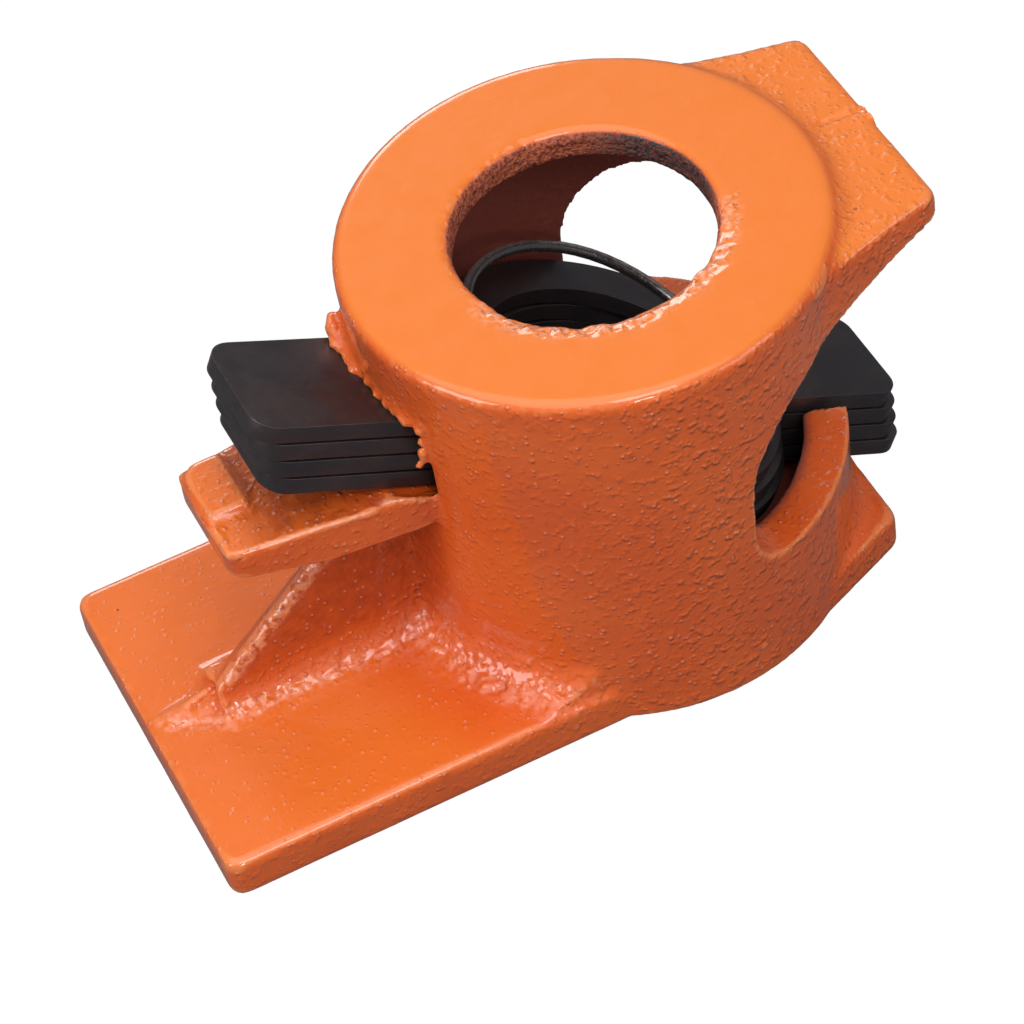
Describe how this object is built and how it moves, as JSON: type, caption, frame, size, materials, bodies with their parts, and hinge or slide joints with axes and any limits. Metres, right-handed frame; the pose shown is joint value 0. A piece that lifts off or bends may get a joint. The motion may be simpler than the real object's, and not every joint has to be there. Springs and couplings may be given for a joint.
{
  "type": "pipe clamp",
  "caption": "Sliding tail stop of a pipe clamp: a hollow enamelled casting with jaw plate, anvil and finger ledge, locked on its pipe by a sprung stack of leaning clutch plates.",
  "frame": {"origin": "middle of the part's footprint, on the plane of the jaw face", "axes": "+Z along the pipe from the jaw face to the ring face, +X along the jaw plate towards the anvil, +Y across the plate"},
  "size_m": [0.093, 0.053, 0.0508],
  "materials": {
    "orange_enamel": "thick glossy orange enamel over a sandy iron casting",
    "black_oxide_steel": "dark oxide film, satin, worn at the edges",
    "black_spring_steel": "glossy black oiled wire"
  },
  "bodies": {
    "casting": {"cast_body": "orange_enamel", "return_spring": "black_spring_steel"},
    "plate_1": {"clutch_plate_1": "black_oxide_steel"},
    "plate_2": {"clutch_plate_2": "black_oxide_steel"},
    "plate_3": {"clutch_plate_3": "black_oxide_steel"},
    "plate_4": {"clutch_plate_4": "black_oxide_steel"}
  },
  "joints": [
    {"name": "plate_1_lean", "type": "hinge", "parent": "casting", "child": "plate_1", "pos_m": [-0.01814, 0, 0.02654], "axis": [0, -1, 0], "range_deg": [0, 22], "stiffness_Nm_per_rad": 0.7, "springref_deg": -14.32, "deforming": ["return_spring"]},
    {"name": "plate_2_lean", "type": "hinge", "parent": "casting", "child": "plate_2", "pos_m": [-0.01748, 0, 0.02898], "axis": [0, -1, 0], "range_deg": [0, 22]},
    {"name": "plate_3_lean", "type": "hinge", "parent": "casting", "child": "plate_3", "pos_m": [-0.01682, 0, 0.03141], "axis": [0, -1, 0], "range_deg": [0, 22]},
    {"name": "plate_4_lean", "type": "hinge", "parent": "casting", "child": "plate_4", "pos_m": [-0.01615, 0, 0.03385], "axis": [0, -1, 0], "range_deg": [0, 22]}
  ],
  "couplings": [
    {"joint": "plate_2_lean", "follows": "plate_1_lean", "ratio": 1},
    {"joint": "plate_3_lean", "follows": "plate_1_lean", "ratio": 1},
    {"joint": "plate_4_lean", "follows": "plate_1_lean", "ratio": 1}
  ]
}
